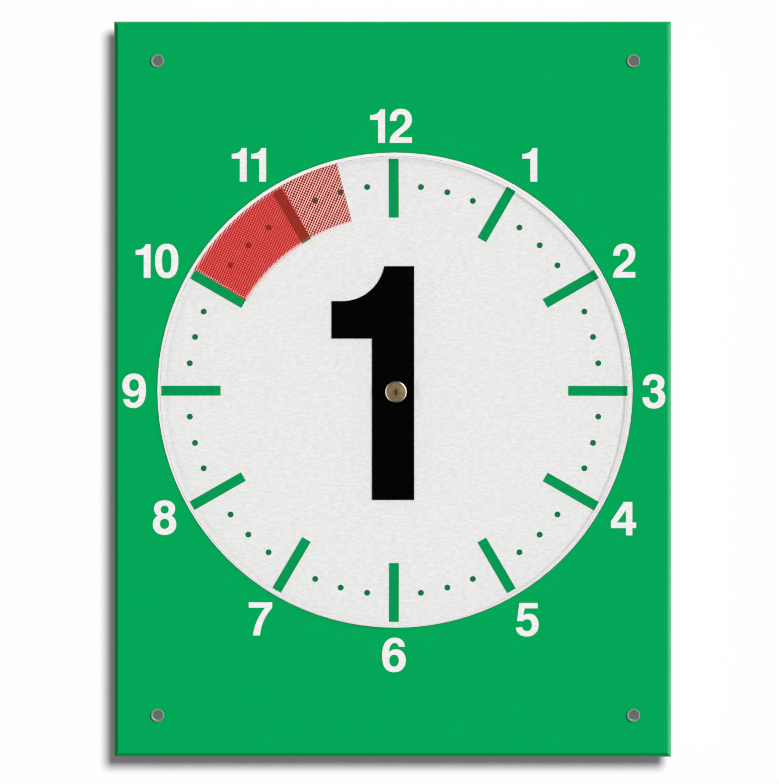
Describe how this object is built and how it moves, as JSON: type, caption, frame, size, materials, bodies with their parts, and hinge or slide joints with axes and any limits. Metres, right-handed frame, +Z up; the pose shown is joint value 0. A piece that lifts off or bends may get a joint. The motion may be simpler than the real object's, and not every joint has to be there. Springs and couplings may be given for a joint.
{
  "type": "tennis match timer",
  "caption": "Wall-hung courtside board with a clock dial and a court number, behind a clear disc whose red time mark is turned by hand to the starting hour.",
  "frame": {"origin": "on the board's rear face, midway between the two upper fixing holes", "axes": "+Z up the board, +X to the right as the dial is read, +Y into the wall behind it, so the dial faces -Y"},
  "size_m": [0.303, 0.0112, 0.4],
  "materials": {
    "board_green": "satin, coloured through",
    "dial_white": "matt printed sheet",
    "number_black": "satin cut film",
    "disc_clear": "clear, polished",
    "mark_dense_red": "translucent film, dense dot screen",
    "mark_light_red": "translucent film, coarse dot screen",
    "rivet_brass": "dulled brass, brighter at the rim",
    "washer_nylon": "natural nylon",
    "washer_steel": "plain",
    "eyelet_metal": "dull, weathered"
  },
  "bodies": {
    "board": {"base_board": "board_green", "dial_sheet": "dial_white", "court_number": "number_black", "pivot_rivet": "rivet_brass", "front_washer": "washer_nylon", "disc_spacer": "washer_nylon", "spring_washer": "washer_steel", "rear_washer": "washer_steel", "eyelet_top_left": "eyelet_metal", "eyelet_top_right": "eyelet_metal", "eyelet_bottom_left": "eyelet_metal", "eyelet_bottom_right": "eyelet_metal", "eyelet_washer_top_left": "eyelet_metal", "eyelet_washer_top_right": "eyelet_metal", "eyelet_washer_bottom_left": "eyelet_metal", "eyelet_washer_bottom_right": "eyelet_metal"},
    "disc": {"time_disc": "disc_clear", "hour_film": "mark_dense_red", "half_hour_film": "mark_light_red"}
  },
  "joints": [
    {"name": "disc_turn", "type": "hinge", "parent": "board", "child": "disc", "pos_m": [0.0003, 0, -0.18], "axis": [0, 1, 0], "continuous": true}
  ]
}
